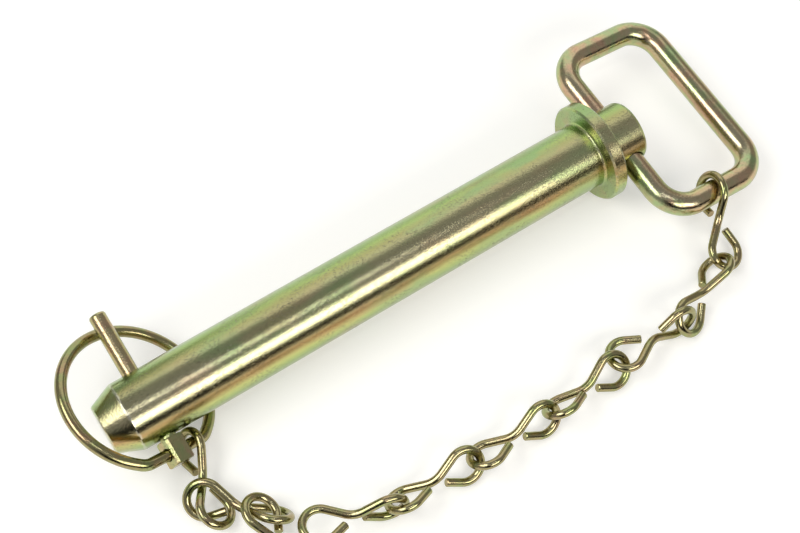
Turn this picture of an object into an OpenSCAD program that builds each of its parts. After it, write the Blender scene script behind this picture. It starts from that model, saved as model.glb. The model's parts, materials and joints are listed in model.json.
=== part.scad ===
// Tow pin with a swinging wire handle, a linch pin with its spring ring, and a keeper chain.
// Millimetres. X runs from the nose towards the head, Z is up and the whole thing lies on Z = 0.

/* [Shaft] */
// Diameter of the plain shaft
shaft_d = 25; // [20:0.5:28]
// Distance from the collar's seat face to the end of the nose
shaft_length = 199; // [120:1:260]
// Distance from the seat face to the linch pin's cross hole
grip_length = 182; // [100:1:240]
// Length of the tapered nose
nose_length = 8.8; // [4:0.1:14]
// Diameter of the flat end of the nose
nose_end_d = 17.8; // [10:0.1:22]

/* [Head] */
// Diameter of the collar that stops the pin
collar_d = 38; // [32:0.5:46]
// Thickness of the collar
collar_t = 5.3; // [3:0.1:9]
// Diameter of the boss above the collar
boss_d = 23.6; // [18:0.1:30]
// Height of the boss above the collar
boss_h = 14.9; // [13.5:0.1:22]
// Height of the handle's cross hole above the collar
eye_h = 8.1; // [7:0.1:12]
// Play round the handle's rod in its hole
handle_play = 0.4; // [0.3:0.05:1]

/* [Handle] */
// Diameter of the handle's rod
rod_d = 9; // [7:0.5:10]
// Width of the handle between rod centres, along the cross hole
handle_w = 73.4; // [60:0.1:90]
// Reach of the handle between rod centres
handle_reach = 43.1; // [38:0.1:60]
// Bend radius of the handle's corners at the rod's centre
handle_bend = 11.5; // [8:0.5:16]
// Droop of the handle as it lies
handle_droop = 7.7; // [0:0.1:12]

/* [Linch pin] */
// Diameter of the linch pin's shank
linch_d = 6; // [5:0.1:7]
// Length of the shank past the shaft's centre, up to its tip
linch_reach = 35.4; // [25:0.1:45]
// Width of the square head
linch_head_w = 7.4; // [7:0.1:10]
// Length of the square head
linch_head_l = 9.4; // [8:0.1:14]
// Running play round the shank in its cross hole
linch_play = 0.1; // [0.05:0.05:0.1]

/* [Ring] */
// Diameter of the ring's spring wire
ring_wire_d = 4.1; // [3:0.1:4.2]
// Radius of the ring at the wire's centre
ring_r = 26.1; // [24:0.1:30]
// Distance from the ring's hinge to its centre
ring_offset = 23.1; // [20:0.1:26]
// Bend radius where the ring turns into the head
ring_end_bend = 6; // [4:0.5:9]
// Straight flank between the ring's circle and its end bends
ring_flank = 1; // [0.5:0.1:3]
// Angle between the ring and the shank as it lies
ring_open = 9; // [8.5:0.5:80]

/* [Chain] */
// Diameter of the chain's wire
wire_d = 3; // [2.5:0.1:3.2]
// Length of a link over the wire
link_length = 38; // [34:0.5:44]
// Radius of a link's eye at the wire's centre
link_eye_r = 5.9; // [5:0.1:7]
// Radius of the eye that is opened to pass over the handle
end_eye_r = 6.9; // [6.7:0.1:8]
// Straight middle of a link
link_waist = 0.6; // [0.4:0.1:2]
// Straight flank between a link's middle bend and its eye
link_flank = 0.8; // [0.4:0.1:2]
// Straight tail at each cut end of a link
link_tail = 1.2; // [0.5:0.1:2]

/* [Hidden] */
$fn = 96;

// Lean of the pin from its collar down to the ring that lies under the nose.
lean = 0.7;
// Middle of the footprint, measured from the centre of the seat face.
middle = [-73.9, -19.7];
// Turn of the handle's hole and of the linch pin about the shaft.
handle_roll = 6.3;
linch_roll = 108;
// Turn of the linch pin about its own shank.
linch_turn = -30.6;

eye_x = collar_t + eye_h;
head_x = collar_t + boss_h;
// The head of the linch pin stops just clear of the shaft.
linch_head_z = shaft_d / 2 + 0.6;
ring_hole_z = linch_head_z + linch_head_l / 2 + 0.2;
ring_hole_d = ring_wire_d + 0.6;

// Resting place of each link: middle x, y, z, then heading, rise and roll in degrees.
LINKS = [
    [28.2, -45.7, 9.5, 248, -19.5, 68.5],
    [6.2, -64.7, 5.8, 206, 0, 45],
    [-21.2, -69.6, 7.1, 178.5, -1.5, 100.5],
    [-51.9, -72.3, 6.7, 183, 2, 136],
    [-83.4, -73.2, 6.6, 180, 0.5, 125],
    [-115.0, -71.9, 6.5, 177, 0, 131],
    [-144.1, -67.7, 8.5, 164, 5.5, 95.5],
    [-168.7, -62.2, 7.6, 89.5, 2.5, 299],
    [-173.9, -43.9, 6.4, 135, -1.5, 241.5],
    [-178.7, -27.7, 5.8, 80, 1.5, 219.5],
];

// Puts a child that is drawn from the seat face, with X along the shaft, on the table.
module from_seat() {
    translate([-middle[0], -middle[1], collar_d / 2 * cos(lean)]) rotate([0, -lean, 0]) children();
}

// Puts a child that is drawn along the linch pin, with Z towards its head, in the pin.
module from_linch() {
    from_seat() translate([-grip_length, 0, 0]) rotate([linch_roll, 0, 0])
        rotate([0, 0, linch_turn]) children();
}

// A round wire bent to an arc in the XY plane, from angle a0 over sweep degrees.
module bend(r, d, a0, sweep) {
    rotate([0, 0, a0]) rotate_extrude(angle = sweep) translate([r, 0]) circle(d = d);
}

// A straight round wire from p in the XY plane, along angle a.
module run(p, a, len, d) {
    translate([p[0], p[1], 0]) rotate([0, 0, a]) rotate([0, 90, 0]) cylinder(d = d, h = len);
}

// The seam between two lengths of wire at p, where the wire runs along angle a.
// It is a thin band, a hair proud of both, so that they join as one.
module seam(p, a, d) {
    translate([p[0], p[1], 0]) rotate([0, 0, a]) rotate([0, 90, 0])
        cylinder(d = d + 0.03, h = 0.3, center = true);
}

// Points of a concave fillet between a cylinder of radius r and the face at x = 0.
function seat_fillet(r, f) = [for (i = [0 : 6]) [r + f - f * cos(i * 15), -f + f * sin(i * 15)]];

module tow_pin() {
    r = shaft_d / 2;
    cr = collar_d / 2;
    br = boss_d / 2;
    profile = concat(
        [[0, -shaft_length], [nose_end_d / 2 - 0.4, -shaft_length],
         [nose_end_d / 2, -shaft_length + 0.4], [r, -shaft_length + nose_length]],
        seat_fillet(r, 1),
        [[cr - 0.7, 0], [cr, 0.7], [cr, collar_t - 0.7], [cr - 0.7, collar_t],
         [br, collar_t], [br, head_x - 1.4], [br - 0.5, head_x - 0.4],
         [br - 1.6, head_x], [0, head_x]]);
    color("darkkhaki") from_seat() difference() {
        rotate([0, 90, 0]) rotate_extrude() polygon(profile);
        translate([eye_x, 0, 0]) rotate([handle_roll, 0, 0]) rotate([90, 0, 0])
            cylinder(d = rod_d + 2 * handle_play, h = 2 * collar_d, center = true);
        translate([-grip_length, 0, 0]) rotate([linch_roll, 0, 0])
            cylinder(d = linch_d + 2 * linch_play, h = 2 * shaft_d, center = true);
    }
}

module handle() {
    w = handle_w / 2;
    b = handle_bend;
    // The rod's two ends meet inside the boss, with a narrow gap.
    gap = 0.4;
    color("goldenrod") from_seat() translate([eye_x, 0, 0]) rotate([handle_roll, 0, 0])
        rotate([0, handle_droop, 0]) {
        for (side = [0, 1]) mirror([0, side, 0]) {
            run([0, gap], 90, w - b - gap, rod_d);
            translate([b, w - b, 0]) bend(b, rod_d, 90, 90);
            run([b, w], 0, handle_reach - 2 * b, rod_d);
            translate([handle_reach - b, w - b, 0]) bend(b, rod_d, 0, 90);
        }
        run([handle_reach, -(w - b)], 90, 2 * (w - b), rod_d);
    }
}

// A square block with its edges broken by c, standing on Z = 0.
module broken_block(w, h, c) {
    k = sqrt(2) * (w - c);
    intersection() {
        translate([-w / 2, -w / 2, 0]) cube([w, w, h]);
        translate([0, 0, h / 2]) rotate([0, 0, 45]) cube([k, k, 2 * h], center = true);
        rotate_extrude() polygon([[0, 0], [w * 0.56, 0], [w * 0.72, w * 0.12],
                                  [w * 0.72, h - w * 0.12], [w * 0.56, h], [0, h]]);
    }
}

module linch_pin() {
    r = linch_d / 2;
    color("peru") from_linch() difference() {
        union() {
            translate([0, 0, -linch_reach]) rotate_extrude()
                polygon([[0, 0], [r - 0.9, 0], [r - 0.3, 0.3], [r, 0.9],
                         [r, linch_reach + linch_head_z + 1], [0, linch_reach + linch_head_z + 1]]);
            translate([0, 0, linch_head_z]) broken_block(linch_head_w, linch_head_l, 0.8);
        }
        translate([0, 0, ring_hole_z]) rotate([0, 90, 0])
            cylinder(d = ring_hole_d, h = 2 * linch_head_w, center = true);
    }
}

module ring() {
    q = ring_end_bend;
    // The end bends turn the wire onto the hinge axis, after a straight flank off the circle.
    k = ring_r - q;
    a = asin((ring_offset - q) / norm([k, ring_flank])) - atan2(ring_flank, k);
    qx = k * cos(a) - ring_flank * sin(a);
    color("olive") from_linch() translate([0, 0, ring_hole_z]) rotate([-ring_open, 0, 0])
        rotate([90, 0, 0]) {
        translate([0, -ring_offset, 0]) bend(ring_r, ring_wire_d, 180 - a, 180 + 2 * a);
        for (side = [0, 1]) mirror([side, 0, 0]) {
            leave = [ring_r * cos(a), ring_r * sin(a) - ring_offset];
            turn = [qx + q * cos(a), -q + q * sin(a)];
            run(leave, 90 + a, ring_flank, ring_wire_d);
            translate([qx, -q, 0]) bend(q, ring_wire_d, a, 90 - a);
            seam(leave, 90 + a, ring_wire_d);
            seam(turn, 90 + a, ring_wire_d);
            seam([qx, 0], 0, ring_wire_d);
            run([0.5, 0], 0, qx - 0.5, ring_wire_d);
        }
    }
}

// Half a link: from the end of its straight waist along X into an open eye of radius r.
module half_link(r) {
    c = link_length / 2 - wire_d / 2 - r;
    w = link_waist / 2;
    // An arc leaves the waist, then a straight flank meets the eye's circle about [c, 0].
    turn = 2 * atan(r / (c - w + link_flank));
    s = (r * cos(turn) - link_flank * sin(turn)) / (1 - cos(turn));
    a = 90 + turn;
    rise = [w + s * sin(turn), s - s * cos(turn)];
    eye = [c - r * sin(turn), r * cos(turn)];
    cut = [eye[0], -eye[1]];
    translate([w, s, 0]) bend(s, wire_d, -90, turn);
    run(rise, turn, link_flank, wire_d);
    translate([c, 0, 0]) bend(r, wire_d, -a, 2 * a);
    run(cut, 180 - turn, link_tail, wire_d);
    seam([w, 0], 0, wire_d);
    seam(rise, turn, wire_d);
    seam(eye, turn, wire_d);
    seam(cut, -turn, wire_d);
}

// One wire with an open eye at each end, the second eye turned a quarter about the link.
module chain_link(i, first_r) {
    p = LINKS[i];
    color(i % 2 == 0 ? "khaki" : "darkgoldenrod")
        translate([p[0] - middle[0], p[1] - middle[1], p[2]])
        rotate([0, 0, p[3]]) rotate([0, -p[4], 0]) rotate([p[5], 0, 0]) {
        run([-link_waist / 2, 0], 0, link_waist, wire_d);
        mirror([1, 0, 0]) half_link(first_r);
        rotate([90, 0, 0]) half_link(link_eye_r);
    }
}

tow_pin();
handle();
linch_pin();
ring();
for (i = [0 : 9])
    chain_link(i, i == 0 ? end_eye_r : link_eye_r);
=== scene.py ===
import json
import math

import bmesh
import bpy
from mathutils import Matrix, Vector


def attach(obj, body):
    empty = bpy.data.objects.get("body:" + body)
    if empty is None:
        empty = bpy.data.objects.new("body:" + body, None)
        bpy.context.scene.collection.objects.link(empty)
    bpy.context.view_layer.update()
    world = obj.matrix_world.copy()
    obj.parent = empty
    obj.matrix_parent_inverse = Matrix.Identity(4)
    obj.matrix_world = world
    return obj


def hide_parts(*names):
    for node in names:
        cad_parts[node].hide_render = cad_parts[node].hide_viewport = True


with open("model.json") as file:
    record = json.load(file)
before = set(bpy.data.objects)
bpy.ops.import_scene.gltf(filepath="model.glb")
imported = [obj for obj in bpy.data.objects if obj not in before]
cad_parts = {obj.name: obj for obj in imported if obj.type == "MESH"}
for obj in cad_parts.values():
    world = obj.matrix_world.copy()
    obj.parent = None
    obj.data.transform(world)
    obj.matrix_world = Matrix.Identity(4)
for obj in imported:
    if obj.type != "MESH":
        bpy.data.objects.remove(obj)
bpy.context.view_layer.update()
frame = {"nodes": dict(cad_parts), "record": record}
print("frame loaded,", len(frame["nodes"]), "pieces")

mm = 0.001

# where the shaft lies: the middle of the collar's seat, and how far the pin leans towards its nose
pin = {
    "seat": (0.0739, 0.0197, 0.0189986),
    "lean": 0.7,          # degrees
    "shaftRadius": 12.5,  # mm, as all that follows
    "coneStart": -190.2,  # from the seat to the shoulder of the nose
    "noseEnd": -199.0,
    "noseRadius": 8.9,
    "collarRadius": 19.0,
    "collarThick": 5.3,
}


def linear(hexColour):
    # sRGB hex to the linear colour that a shader works in
    parts = [int(hexColour[i:i + 2], 16) / 255 for i in (1, 3, 5)]
    return [p / 12.92 if p <= 0.04045 else ((p + 0.055) / 1.055) ** 2.4 for p in parts] + [1]


def addNode(tree, kind, feeds=None, stops=None, **settings):
    # settings are the node's properties, and feeds gives each socket a value, a hex colour or what is linked to it
    node = tree.nodes.new("ShaderNode" + kind)
    for name, value in settings.items():
        setattr(node, name, value)
    for i, (place, colour) in enumerate(stops or []):
        stop = node.color_ramp.elements[i] if i < 2 else node.color_ramp.elements.new(place)
        stop.position = place
        stop.color = linear(colour) if isinstance(colour, str) else (colour,) * 3 + (1,)
    for socket, feed in (feeds or {}).items():
        if isinstance(feed, bpy.types.Node):
            feed = feed.outputs[0]
        if isinstance(feed, bpy.types.NodeSocket):
            tree.links.new(feed, node.inputs[socket])
        else:
            node.inputs[socket].default_value = linear(feed) if isinstance(feed, str) else feed
    return node


def platedSteel(name, look):
    # Mild steel, turned or bent, zinc plated and dipped in yellow chromate. To the eye it is a satin metal
    # between straw and olive, with green and pink clouds where the film is thicker or thinner, fine grey
    # pits that break up its reflections, and paler bare zinc at turned edges, partly where other parts have rubbed it
    # and partly a painted highlight.
    mat = bpy.data.materials.new(name)
    mat.use_nodes = True
    tree = mat.node_tree
    tree.nodes.clear()
    place = addNode(tree, "TexCoord")
    here = addNode(tree, "Mapping", {
        "Vector": place.outputs["Object"], "Location": look["origin"],
        "Rotation": [math.radians(a) for a in look["turn"]],
        "Scale": (mm, mm, mm),   # from here on the pattern is in millimetres
    }, vector_type="TEXTURE")
    axes = addNode(tree, "SeparateXYZ", {0: here}).outputs

    def clouds(size, stretch, detail, rough):
        # cells about `size` mm across, longer along an axis by its stretch
        scaled = addNode(tree, "VectorMath", {0: here, 1: [1 / (size * s) for s in stretch]}, operation="MULTIPLY")
        return addNode(tree, "TexNoise", {"Vector": scaled, "Scale": 1.0, "Detail": detail, "Roughness": rough})

    # the film's colour: it turns greener where the surface leans away, as thin films do
    lean = addNode(tree, "LayerWeight", {"Blend": 0.5})
    film = addNode(tree, "ValToRGB", {0: lean.outputs["Facing"]}, look["film"])
    green = addNode(tree, "ValToRGB", {0: clouds(look["cloudSize"], look["cloudStretch"], 3.0, 0.55)},
                    look["greenEdge"])
    film = addNode(tree, "Mix", {0: green, 6: look["green"], 7: film}, data_type="RGBA").outputs[2]
    pink = addNode(tree, "ValToRGB", {0: clouds(look["cloudSize"] * 0.7, look["cloudStretch"], 2.0, 0.5)},
                   look["pinkEdge"])
    pink = addNode(tree, "Math", {0: pink, 1: look["pinkAmount"]}, operation="MULTIPLY")
    film = addNode(tree, "Mix", {0: pink, 6: film, 7: look["pink"]}, data_type="RGBA").outputs[2]

    if look["sides"]:
        # the film drained off in long bands: greener on one flank, straw and salmon on the other
        around = addNode(tree, "Math", {0: axes["Y"], 1: axes["Z"]}, operation="ARCTAN2")
        around = addNode(tree, "Math", {0: around, 1: 0.5 / math.pi, 2: 0.5}, operation="MULTIPLY_ADD")
        wander = clouds(look["cloudSize"] * 1.5, look["cloudStretch"], 2.0, 0.5)
        wander = addNode(tree, "Math", {0: wander, 1: look["wander"], 2: -look["wander"] / 2},
                         operation="MULTIPLY_ADD")
        around = addNode(tree, "Math", {0: around, 1: wander}, operation="ADD")
        bands = addNode(tree, "ValToRGB", {0: around}, look["sides"])
        film = addNode(tree, "Mix", {0: 1.0, 6: film, 7: bands}, data_type="RGBA", blend_type="MULTIPLY").outputs[2]

    # grey-brown pits and specks in the plating, thicker in some patches
    specks = clouds(look["speckSize"], look["speckStretch"], 3.0, 0.65)
    patches = clouds(look["cloudSize"] * 0.45, look["cloudStretch"], 2.0, 0.5)
    pits = addNode(tree, "Math", {0: addNode(tree, "ValToRGB", {0: specks}, look["speckEdge"]),
                                  1: addNode(tree, "ValToRGB", {0: patches}, look["patchEdge"])},
                   operation="MULTIPLY")
    pitted = addNode(tree, "Math", {0: pits, 1: look["pitAmount"]}, operation="MULTIPLY")
    film = addNode(tree, "Mix", {0: pitted, 6: film, 7: look["pitColour"]}, data_type="RGBA").outputs[2]

    grain = clouds(look["grainSize"], look["grainStretch"], 3.0, 0.6)
    roughness = addNode(tree, "Math", {0: grain, 1: look["roughSpread"], 2: look["rough"] - look["roughSpread"] / 2},
                        operation="MULTIPLY_ADD")
    roughness = addNode(tree, "Math", {0: pits, 1: look["pitRough"], 2: roughness}, operation="MULTIPLY_ADD")

    if look["duller"]:
        # less bright towards the head, the end that is held and knocked
        way = addNode(tree, "Math", {0: axes["X"], 1: look["duller"] / look["dullerOver"], 2: look["duller"]},
                      operation="MULTIPLY_ADD")
        roughness = addNode(tree, "Math", {0: roughness, 1: way}, operation="ADD")

    if look["wornAndHighlitEdges"]:
        # rubbed places and painted edge highlights: how far a point is from a turned edge, in length and radius, with
        # a ragged limit; the paler colour there is partly worn zinc and partly a painted highlight
        across = addNode(tree, "VectorMath", {0: here, 1: (0, 1, 1)}, operation="MULTIPLY")
        radius = addNode(tree, "VectorMath", {0: across}, operation="LENGTH").outputs["Value"]
        profile = addNode(tree, "CombineXYZ", {"X": axes["X"], "Y": radius})
        chips = clouds(look["chipSize"], (1, 1, 1), 4.0, 0.5)
        chips = addNode(tree, "Math", {0: chips, 1: look["chipReach"]}, operation="MULTIPLY")
        wornAndHighlight = 0.0
        for edgeX, edgeRadius, width in look["wornAndHighlitEdges"]:
            away = addNode(tree, "VectorMath", {0: profile, 1: (edgeX, edgeRadius, 0)}, operation="DISTANCE")
            away = addNode(tree, "Math", {0: away.outputs["Value"], 1: width}, operation="DIVIDE")
            rubbedAndHighlit = addNode(tree, "Math", {0: chips, 1: away}, operation="SUBTRACT")
            rubbedAndHighlit = addNode(tree, "Math", {0: rubbedAndHighlit, 1: look["wornHighlightAmount"]}, operation="MINIMUM")
            wornAndHighlight = addNode(tree, "Math", {0: wornAndHighlight, 1: rubbedAndHighlit}, operation="MAXIMUM")
        # paler colour near the edges: worn bare zinc, and also a painted highlight
        film = addNode(tree, "Mix", {0: wornAndHighlight, 6: film, 7: look["bareZincAndHighlight"]}, data_type="RGBA").outputs[2]
        roughness = addNode(tree, "Math", {0: wornAndHighlight, 1: look["wornHighlightRough"], 2: roughness}, operation="MULTIPLY_ADD")

    height = addNode(tree, "Math", {0: specks, 1: look["speckHeight"], 2: grain}, operation="MULTIPLY_ADD")
    bump = addNode(tree, "Bump", {"Height": height, "Strength": look["bumpStrength"],
                                  "Distance": look["bumpDepth"] * mm})
    shell = addNode(tree, "BsdfPrincipled", {"Base Color": film, "Roughness": roughness, "Normal": bump,
                                             "Metallic": 1.0})
    addNode(tree, "OutputMaterial", {"Surface": shell})
    return mat


# the grain and pits of real plating are finer than the photograph shows, so they are drawn as coarse as it does
shaftLook = {
    "origin": pin["seat"], "turn": (0, -pin["lean"], 0),
    "film": [(0.0, "#BCBAA0"), (0.12, "#BCB898"), (0.26, "#BCB187"), (0.40, "#BEC28C"), (0.58, "#ACBC8A"),
             (0.82, "#A8B096"), (1.0, "#B2B6A6")],
    "green": "#A9B990", "greenEdge": [(0.36, 0.0), (0.52, 1.0)],
    "pink": "#C9AA90", "pinkEdge": [(0.50, 0.0), (0.68, 1.0)], "pinkAmount": 0.4,
    "sides": [(0.0, "#F4EEDC"), (0.10, "#F0F4E0"), (0.24, "#EDF5DC"), (0.285, "#FFFFE2"), (0.325, "#F6DCC2"),
              (0.37, "#F0F2E0"), (0.43, "#FFF8EE"), (0.50, "#F4F6E4"), (0.57, "#DCF2CC"), (0.66, "#E8F4DC"),
              (0.85, "#F6ECD8"), (1.0, "#F4EEDC")],
    "wander": 0.08,
    "cloudSize": 11.0, "cloudStretch": (3.0, 1, 1),
    "speckSize": 0.6, "speckStretch": (1.3, 1, 1), "speckEdge": [(0.50, 0.0), (0.66, 1.0)],
    "patchEdge": [(0.40, 0.15), (0.60, 1.0)],
    "pitColour": "#77745C", "pitAmount": 0.7, "pitRough": 0.15,
    "grainSize": 0.45, "grainStretch": (1.6, 1, 1),
    "rough": 0.13, "roughSpread": 0.08, "duller": 0.09, "dullerOver": 200,
    "bumpStrength": 0.8, "bumpDepth": 0.055, "speckHeight": 0.6,
    # the edges' paler colour and how strongly it shows: worn bare zinc and also a painted highlight
    "bareZincAndHighlight": "#DDDCD0", "wornHighlightAmount": 0.4, "wornHighlightRough": -0.05, "chipSize": 1.1, "chipReach": 2.2,
    # each edge's place along the pin, its radius and how wide it is rubbed and painted with a highlight
    "wornAndHighlitEdges": [(pin["coneStart"], pin["shaftRadius"], 0.55), (pin["noseEnd"], pin["noseRadius"], 0.5),
                  (0.0, pin["collarRadius"], 0.45), (pin["collarThick"], pin["collarRadius"], 0.45)],
}

handleLook = dict(shaftLook, **{
    "origin": (0.0873, 0.0197, 0.0192), "turn": (0, 0, 0),
    "film": [(0.0, "#BFB89C"), (0.15, "#BFB292"), (0.32, "#C2AC84"), (0.48, "#BDBB86"), (0.64, "#A9B67E"),
             (0.85, "#A9A98F"), (1.0, "#B8B8A8")],
    "green": "#A4B684", "pink": "#CFA48A", "pinkAmount": 0.7, "sides": None,
    "cloudSize": 9.0, "cloudStretch": (1, 1.6, 1),
    "speckStretch": (1, 1, 1), "pitColour": "#7A7056", "pitAmount": 0.6,
    "grainStretch": (1, 1, 1), "rough": 0.15, "duller": 0, "wornAndHighlitEdges": [],
})

linchLook = dict(handleLook, **{
    "origin": (-0.108, 0.0197, 0.017),
    "film": [(0.0, "#BDB08C"), (0.15, "#BAAA82"), (0.35, "#B5A576"), (0.55, "#A9A974"), (0.8, "#A6A68A"),
             (1.0, "#B6B5A6")],
    "green": "#A5AD7A", "pink": "#C29C84", "pinkAmount": 0.55,
    "cloudSize": 6.0, "cloudStretch": (1, 1.5, 1), "speckSize": 0.7, "pitColour": "#6E664E",
    "grainSize": 0.5, "grainStretch": (1, 2, 1), "rough": 0.20,
})

ringLook = dict(linchLook, **{
    "origin": (-0.110, 0.025, 0.0153),
    "film": [(0.0, "#A39C74"), (0.2, "#9E956A"), (0.4, "#A0946C"), (0.6, "#98986A"), (0.85, "#9A9A7E"),
             (1.0, "#B0AF9E")],
    "green": "#959E6A", "pink": "#B48F76", "cloudSize": 7.0, "cloudStretch": (1, 1, 1),
    "pitColour": "#5E5842", "pitAmount": 0.5, "rough": 0.17, "grainStretch": (1, 1, 1), "bumpStrength": 0.35,
})

chainLook = dict(ringLook, **{
    "origin": (0, 0, 0),
    "film": [(0.0, "#ABA37E"), (0.2, "#A69C72"), (0.4, "#A0946A"), (0.6, "#989668"), (0.85, "#9A987C"),
             (1.0, "#AEAC9A")],
    "green": "#99A06C", "pink": "#B4957A", "pinkAmount": 0.45, "cloudSize": 6.0, "pitColour": "#625B42",
    "rough": 0.15,
})

finishes = {
    "pin_plating": platedSteel("turnedSteelYellowZinc", shaftLook),
    "handle_plating": platedSteel("bentRodYellowZinc", handleLook),
    "linch_plating": platedSteel("forgedSteelYellowZinc", linchLook),
    "ring_plating": platedSteel("springWireYellowZinc", ringLook),
    "chain_plating": platedSteel("chainWireYellowZinc", chainLook),
}
for part in frame["record"]["subparts"]:
    for slot in frame["nodes"][part["node"]].material_slots:
        slot.material = finishes[part["material_slot"]]
print("plated steel on every piece")


def addMesh(shape, name, mat):
    mesh = bpy.data.meshes.new(name)
    shape.to_mesh(mesh)
    shape.free()
    mesh.materials.append(mat)
    obj = bpy.data.objects.new(name, mesh)
    bpy.context.scene.collection.objects.link(obj)
    return obj


# each link is one bent wire: a teardrop eye at each end, in planes a quarter turn apart. The free end of each
# eye runs straight back and stops just short of the stem.
chain = {
    # mm: the wire, half a link to the wire's centre, the eyes' radii, where a tail ends, and the middle's bend
    "wire": 3.0, "half": 17.5, "eye": 5.9, "firstEye": 6.9, "tailFrom": 3.4, "middleBend": 9.0,
    "endBevel": 0.25,
    "sides": 20, "eyeSteps": 32, "bendSteps": 8,
    "sharp": 30,   # degrees: edges over this stay crisp
    # mm from the middle of the pin's footprint, then heading, rise and roll in degrees
    "links": [
        (102.1, -26.0, 9.5, 248, -19.5, 68.5),
        (80.1, -45.0, 5.8, 206, 0, 45),
        (52.7, -49.9, 7.1, 178.5, -1.5, 280.5),
        (22.0, -52.6, 6.7, 183, 2, 136),
        (-9.5, -53.5, 6.6, 180, 0.5, 125),
        (-41.1, -52.2, 6.5, 177, 0, 131),
        (-70.2, -48.0, 8.5, 164, 5.5, 95.5),
        (-95, -42, 7.9, 89.5, 5.5, 303.6),
        (-100, -23.9, 6.8, 134.8, 0.9, 55.5),
        (-104.8, -8.6, 5.7, 81.3, 2.6, 37.8),
    ],
}


def teardrop(eye):
    # the eye's centre along the link, the flank's angle to the link, and where the flank meets the eye's round
    centre = chain["half"] - eye
    angle = math.asin(eye / centre)
    return centre, angle, centre * math.cos(angle) ** 2


def drawOut(shape, rim, by):
    # one straight run of wire from the open rim
    grown = bmesh.ops.extrude_edge_only(shape, edges=rim)["geom"]
    bmesh.ops.translate(shape, vec=by, verts=[v for v in grown if isinstance(v, bmesh.types.BMVert)])
    return [e for e in grown if isinstance(e, bmesh.types.BMEdge) and len(e.link_faces) == 1]


def bendRound(shape, rim, centre, axis, angle, steps):
    # one bend of wire from the open rim
    last = bmesh.ops.spin(shape, geom=rim, cent=centre, axis=axis, angle=angle, steps=steps, dvec=(0, 0, 0),
                          use_duplicate=False)["geom_last"]
    return [e for e in last if isinstance(e, bmesh.types.BMEdge)]


def bendLink(name, firstEye, place):
    shape = bmesh.new()
    tail, middle = chain["tailFrom"], chain["middleBend"]
    upCentre, upAngle, upMeet = teardrop(firstEye)
    lowCentre, lowAngle, lowMeet = teardrop(chain["eye"])

    # from the upper eye's free end, round the eye and down the stem
    out = Vector((-math.cos(upAngle), -math.sin(upAngle), 0))
    start = Matrix.Translation((-tail, -tail * math.tan(upAngle), 0))
    bmesh.ops.create_circle(shape, segments=chain["sides"], radius=chain["wire"] / 2,
                            matrix=start @ out.to_track_quat("Z", "Y").to_matrix().to_4x4())
    rim = drawOut(shape, list(shape.edges), out * ((upMeet - tail) / math.cos(upAngle)))
    rim = bendRound(shape, rim, (-upCentre, 0, 0), (0, 0, -1), math.pi + 2 * upAngle, chain["eyeSteps"])

    # across the middle, from one eye's plane to the other's
    stemIn = Vector((math.cos(upAngle), -math.sin(upAngle), 0))
    stemOut = Vector((math.cos(lowAngle), 0, math.sin(lowAngle)))
    bend = stemIn.angle(stemOut)
    short = middle * math.tan(bend / 2)
    rim = drawOut(shape, rim, stemIn * (upMeet / math.cos(upAngle) - short))
    axis = stemIn.cross(stemOut).normalized()
    rim = bendRound(shape, rim, -stemIn * short + axis.cross(stemIn) * middle, axis, bend, chain["bendSteps"])
    rim = drawOut(shape, rim, stemOut * (lowMeet / math.cos(lowAngle) - short))

    # round the lower eye to its free end
    rim = bendRound(shape, rim, (lowCentre, 0, 0), (0, 1, 0), math.pi + 2 * lowAngle, chain["eyeSteps"])
    back = Vector((-math.cos(lowAngle), 0, math.sin(lowAngle)))
    drawOut(shape, rim, back * ((lowMeet - tail) / math.cos(lowAngle)))

    # sheared ends, with the burr's small chamfer
    bmesh.ops.remove_doubles(shape, verts=shape.verts, dist=0.001)
    bmesh.ops.holes_fill(shape, edges=[e for e in shape.edges if e.is_boundary], sides=0)
    caps = [f for f in shape.faces if len(f.verts) > 4]
    bmesh.ops.bevel(shape, geom=[e for f in caps for e in f.edges], offset=chain["endBevel"], affect="EDGES",
                    segments=1, profile=0.5, material=-1)
    bmesh.ops.recalc_face_normals(shape, faces=shape.faces)
    for face in shape.faces:
        face.smooth = len(face.verts) == 4
    for edge in shape.edges:
        edge.smooth = edge.calc_face_angle(0) < math.radians(chain["sharp"])

    x, y, z, heading, rise, roll = place
    pose = Matrix.Translation((x * mm, y * mm, z * mm))
    for degrees, about in ((heading, "Z"), (-rise, "Y"), (roll, "X")):
        pose = pose @ Matrix.Rotation(math.radians(degrees), 4, about)
    bmesh.ops.transform(shape, matrix=pose @ Matrix.Scale(mm, 4), verts=shape.verts)
    return addMesh(shape, name, finishes["chain_plating"])


for number, place in enumerate(chain["links"], 1):
    node = f"chain_link_{number:02d}"
    link = bendLink(f"wire_link_{number:02d}", chain["firstEye"] if number == 1 else chain["eye"], place)
    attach(link, node)
    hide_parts(node)
print("chain bent,", len(chain["links"]), "links")


# the paper's glow is a little stronger far off, where the lamps reach it less: from near to far, in metres
table = {"radius": 5.0, "colour": "#E8E8E6", "glow": 0.34, "glowFar": 0.66, "near": 0.7, "far": 2.0}


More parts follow.
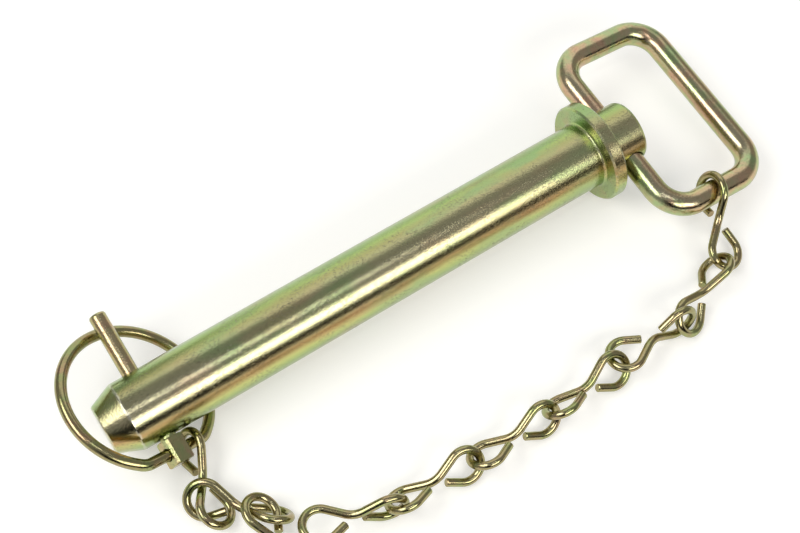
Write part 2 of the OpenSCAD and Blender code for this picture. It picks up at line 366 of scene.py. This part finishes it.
def makeTable():
    mat = bpy.data.materials.new("whitePaper")
    mat.use_nodes = True
    tree = mat.node_tree
    tree.nodes.clear()
    # white paper: it keeps the soft shadow, and looks white to the eye and in the metal
    rays = addNode(tree, "LightPath").outputs
    seen = addNode(tree, "Math", {0: rays["Is Camera Ray"], 1: rays["Is Glossy Ray"]}, operation="MAXIMUM")
    seen = addNode(tree, "Math", {0: seen, 1: rays["Is Transmission Ray"]}, operation="MAXIMUM")
    place = addNode(tree, "TexCoord")
    distance = addNode(tree, "VectorMath", {0: place.outputs["Object"]}, operation="LENGTH")
    level = addNode(tree, "MapRange", {"Value": distance.outputs["Value"], "From Min": table["near"],
                                       "From Max": table["far"], "To Min": table["glow"],
                                       "To Max": table["glowFar"]})
    glow = addNode(tree, "Math", {0: seen, 1: level}, operation="MULTIPLY")
    paper = addNode(tree, "BsdfDiffuse", {"Color": table["colour"]})
    light = addNode(tree, "Emission", {"Strength": glow})
    addNode(tree, "OutputMaterial", {"Surface": addNode(tree, "AddShader", {0: paper, 1: light})})
    shape = bmesh.new()
    bmesh.ops.create_circle(shape, cap_ends=True, segments=96, radius=table["radius"])
    addMesh(shape, "table", mat)


# a plain grey room, paler towards the horizon
room = {"wall": 0.32, "horizon": 0.80, "horizonTop": 0.20}


def makeRoom():
    world = bpy.data.worlds.new("greyRoom")
    bpy.context.scene.world = world
    world.use_nodes = True
    tree = world.node_tree
    tree.nodes.clear()
    place = addNode(tree, "TexCoord")
    up = addNode(tree, "SeparateXYZ", {0: place.outputs["Generated"]}).outputs["Z"]
    level = addNode(tree, "ValToRGB", {0: up}, [(0.0, room["horizon"]), (room["horizonTop"], room["wall"])])
    sky = addNode(tree, "Background", {"Color": level, "Strength": 1.0})
    addNode(tree, "OutputWorld", {"Surface": sky})


# softboxes: where each stands, seen from the middle of the pin, as a turn about the vertical and a height in
# degrees, how far away it is and its size in metres, and how bright it looks where white paper is 1
softboxes = {
    "longSoftbox": {"turn": -85, "rise": 38, "away": 1.0, "size": (0.76, 0.34), "bright": 5.0, "colour": "#FFF9F0"},
    "sideSoftbox": {"turn": 164, "rise": 54, "away": 1.0, "size": (0.74, 0.42), "bright": 4.4, "colour": "#FFFDF6"},
    "wideSoftbox": {"turn": 58, "rise": 33, "away": 1.3, "size": (1.4, 1.35), "bright": 0.8, "colour": "#FFFFFF"},
    "stripSoftbox": {"turn": -90, "rise": 76, "away": 1.0, "size": (0.5, 0.04), "bright": 7.5, "colour": "#FFFFFF"},
}


def makeSoftbox(name, box):
    turn, rise = math.radians(box["turn"]), math.radians(box["rise"])
    toward = Vector((math.cos(turn) * math.cos(rise), math.sin(turn) * math.cos(rise), math.sin(rise)))
    data = bpy.data.lights.new(name, "AREA")
    data.shape = "RECTANGLE"
    data.size, data.size_y = box["size"]
    data.energy = box["bright"] * math.pi * data.size * data.size_y
    data.color = linear(box["colour"])[:3]
    lamp = bpy.data.objects.new(name, data)
    lamp.matrix_world = Matrix.Translation(toward * box["away"]) @ toward.to_track_quat("Z", "Y").to_matrix().to_4x4()
    bpy.context.scene.collection.objects.link(lamp)


# dark cloths that the metal mirrors, standing on the floor on the camera's side: turn in degrees, rest in metres
cloths = {
    "nearCloth": {"turn": -90, "away": 1.6, "aside": 0.3, "width": 3.0, "height": 0.68, "colour": "#1E1E1C"},
    "noseCloth": {"turn": -124, "away": 1.5, "aside": 0, "width": 1.0, "height": 1.5, "colour": "#1E1E1C"},
}


def makeCloth(name, cloth):
    mat = bpy.data.materials.new("darkFelt")   # soft, with no gloss at all
    mat.use_nodes = True
    mat.node_tree.nodes.clear()
    felt = addNode(mat.node_tree, "BsdfDiffuse", {"Color": cloth["colour"]})
    addNode(mat.node_tree, "OutputMaterial", {"Surface": felt})
    shape = bmesh.new()
    bmesh.ops.create_grid(shape, x_segments=1, y_segments=1, size=0.5)
    bmesh.ops.scale(shape, vec=(cloth["width"], cloth["height"], 1), verts=shape.verts)
    bmesh.ops.rotate(shape, matrix=Matrix.Rotation(math.radians(90), 3, "X"), verts=shape.verts)
    bmesh.ops.translate(shape, vec=(cloth["aside"], -cloth["away"], cloth["height"] / 2), verts=shape.verts)
    bmesh.ops.rotate(shape, matrix=Matrix.Rotation(math.radians(cloth["turn"] + 90), 3, "Z"), verts=shape.verts)
    obj = addMesh(shape, name, mat)
    obj.visible_camera = False


makeTable()
makeRoom()
for name, cloth in cloths.items():
    makeCloth(name, cloth)
for name, box in softboxes.items():
    makeSoftbox(name, box)
print("table, room and lamps")

# the photograph's view: where the camera stands in metres, and which way its frame and its lens point
camera = {
    "place": (-0.14383, -0.17870, 0.43416),
    "right": (0.83454, -0.55085, 0.01009),
    "down": (-0.47399, -0.72719, -0.49651),
    "forward": (0.28084, 0.40958, -0.86797),
    "lens": 61.28, "sensor": 36.0,
}


def makeCamera():
    data = bpy.data.cameras.new("photoCamera")
    data.lens, data.sensor_width, data.sensor_fit = camera["lens"], camera["sensor"], "HORIZONTAL"
    data.clip_start, data.clip_end = 0.01, 50
    obj = bpy.data.objects.new("photoCamera", data)
    columns = [Vector(camera["right"]), -Vector(camera["down"]), -Vector(camera["forward"])]
    obj.matrix_world = Matrix.Translation(camera["place"]) @ Matrix(columns).transposed().to_4x4()
    bpy.context.scene.collection.objects.link(obj)
    bpy.context.scene.camera = obj


makeCamera()
bpy.context.scene.view_settings.view_transform = "Standard"
print("camera")
